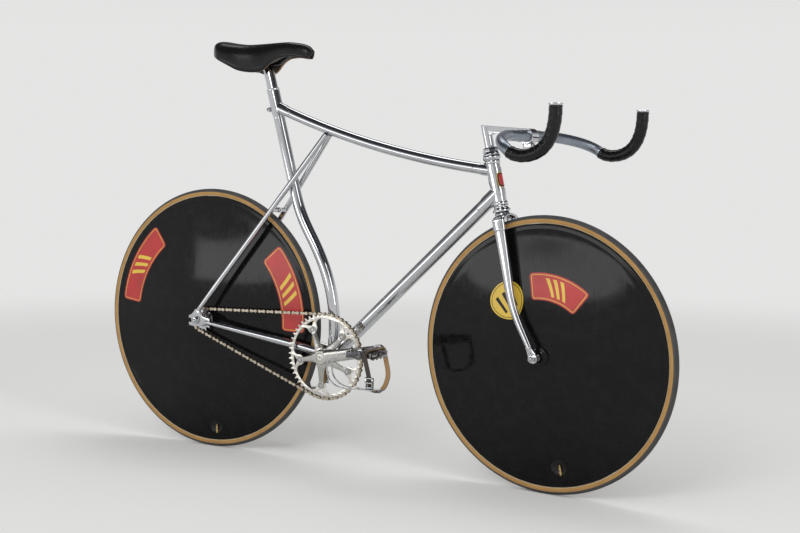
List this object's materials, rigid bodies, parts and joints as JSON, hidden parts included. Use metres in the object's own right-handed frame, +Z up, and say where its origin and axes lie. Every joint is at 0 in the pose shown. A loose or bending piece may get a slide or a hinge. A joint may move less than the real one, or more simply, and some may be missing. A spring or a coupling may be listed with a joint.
{
  "type": "track bicycle",
  "caption": "Pursuit track bicycle: bowed top tube, seat tube curved round the rear wheel, tan tyres on black disc wheels, upturned bars, fixed gear and toe-clip pedals.",
  "frame": {"origin": "on the ground, straight below the bottom bracket, in the frame's middle plane", "axes": "+X forward, +Y to the rider's left, +Z up; the chain side faces -Y"},
  "size_m": [1.5743, 0.458, 1.0422],
  "materials": {
    "chrome": "polished chrome plate",
    "polished_alloy": "polished",
    "silver_alloy": "satin",
    "steel": "satin",
    "chain_steel": "warm bright steel",
    "black_disc": "gloss composite skin",
    "tyre_tan": "tan tubular tyre",
    "black_leather": "smooth semi-gloss leather",
    "brown_leather": "dull brown lining",
    "black_tape": "wound cloth tape",
    "strap_leather": "tan strap leather"
  },
  "bodies": {
    "frame": {"seat_tube": "chrome", "seat_binder_bolt": "steel", "top_tube": "chrome", "down_tube": "chrome", "head_tube": "chrome", "bottom_bracket_shell": "chrome", "bb_cup_left": "steel", "bb_cup_right": "steel", "track_end_left": "chrome", "track_end_right": "chrome", "seat_stay_left": "chrome", "seat_stay_right": "chrome", "seat_stay_bridge": "chrome", "chain_stay_left": "chrome", "chain_stay_right": "chrome", "rear_axle": "steel", "rear_axle_nut_left": "chrome", "rear_axle_nut_right": "chrome", "headset_cup_lower": "chrome", "headset_cup_upper": "chrome", "chain": "chain_steel"},
    "rear_wheel": {"rear_tyre": "tyre_tan", "rear_disc": "black_disc", "rear_hub": "polished_alloy", "track_cog": "steel", "cog_lockring": "steel"},
    "crankset": {"crank_left": "polished_alloy", "crank_right": "polished_alloy", "bb_spindle": "steel", "chainring": "polished_alloy", "pedal_axle_left": "steel", "pedal_axle_right": "steel"},
    "pedal_right": {"pedal_body_right": "silver_alloy", "toe_clip_right": "chrome", "toe_strap_right": "strap_leather"},
    "pedal_left": {"pedal_body_left": "silver_alloy", "toe_clip_left": "chrome", "toe_strap_left": "strap_leather"},
    "seat": {"seat_post": "chrome", "saddle_clamp": "steel"},
    "saddle": {"saddle_cover": "black_leather", "saddle_shell": "brown_leather", "saddle_rails": "steel"},
    "fork": {"fork_crown": "chrome", "fork_blade_left": "chrome", "fork_blade_right": "chrome", "headset_top_race": "chrome", "headset_locknut": "chrome", "front_axle": "steel", "front_axle_nut_left": "chrome", "front_axle_nut_right": "chrome"},
    "front_wheel": {"front_tyre": "tyre_tan", "front_disc": "black_disc", "front_hub": "polished_alloy"},
    "stem": {"stem": "chrome", "stem_clamp_bolt": "steel", "stem_expander_bolt": "steel"},
    "handlebar": {"handlebar": "silver_alloy", "bar_tape_left": "black_tape", "bar_tape_right": "black_tape"}
  },
  "joints": [
    {"name": "steering", "type": "hinge", "parent": "frame", "child": "fork", "pos_m": [0.44122, 0, 0.64128], "axis": [-0.2164, 0, 0.9763], "range_deg": [-9.1, 20.9]},
    {"name": "front_wheel_spin", "type": "hinge", "parent": "fork", "child": "front_wheel", "pos_m": [0.55521, -0.00408, 0.31095], "axis": [0.0997, 0.9948, 0.0221], "continuous": true},
    {"name": "rear_wheel_spin", "type": "hinge", "parent": "frame", "child": "rear_wheel", "pos_m": [-0.37739, 0, 0.336], "axis": [0, 1, 0], "continuous": true, "deforming": ["chain"]},
    {"name": "crank_spin", "type": "hinge", "parent": "frame", "child": "crankset", "pos_m": [0, 0, 0.2695], "axis": [0, 1, 0], "continuous": true},
    {"name": "pedal_right_spin", "type": "hinge", "parent": "crankset", "child": "pedal_right", "pos_m": [0.16726, -0.125, 0.2999], "axis": [0, 1, 0], "continuous": true},
    {"name": "pedal_left_spin", "type": "hinge", "parent": "crankset", "child": "pedal_left", "pos_m": [-0.16726, 0.125, 0.2391], "axis": [0, 1, 0], "continuous": true},
    {"name": "seat_post_height", "type": "slide", "parent": "frame", "child": "seat", "axis": [-0.2588, 0, 0.9659], "range_m": [-0.022, 0.035]},
    {"name": "saddle_fore_aft", "type": "slide", "parent": "seat", "child": "saddle", "axis": [1, 0, 0], "range_m": [-0.01, 0.015]},
    {"name": "stem_height", "type": "slide", "parent": "fork", "child": "stem", "axis": [-0.2164, 0, 0.9763], "range_m": [-0.018, 0.03]},
    {"name": "bar_tilt", "type": "hinge", "parent": "stem", "child": "handlebar", "pos_m": [0.51154, -0.01045, 0.79438], "axis": [0.0997, 0.9948, 0.0221], "range_deg": [-25, 25]}
  ],
  "couplings": [
    {"joint": "crank_spin", "follows": "rear_wheel_spin", "ratio": 0.27451}
  ]
}
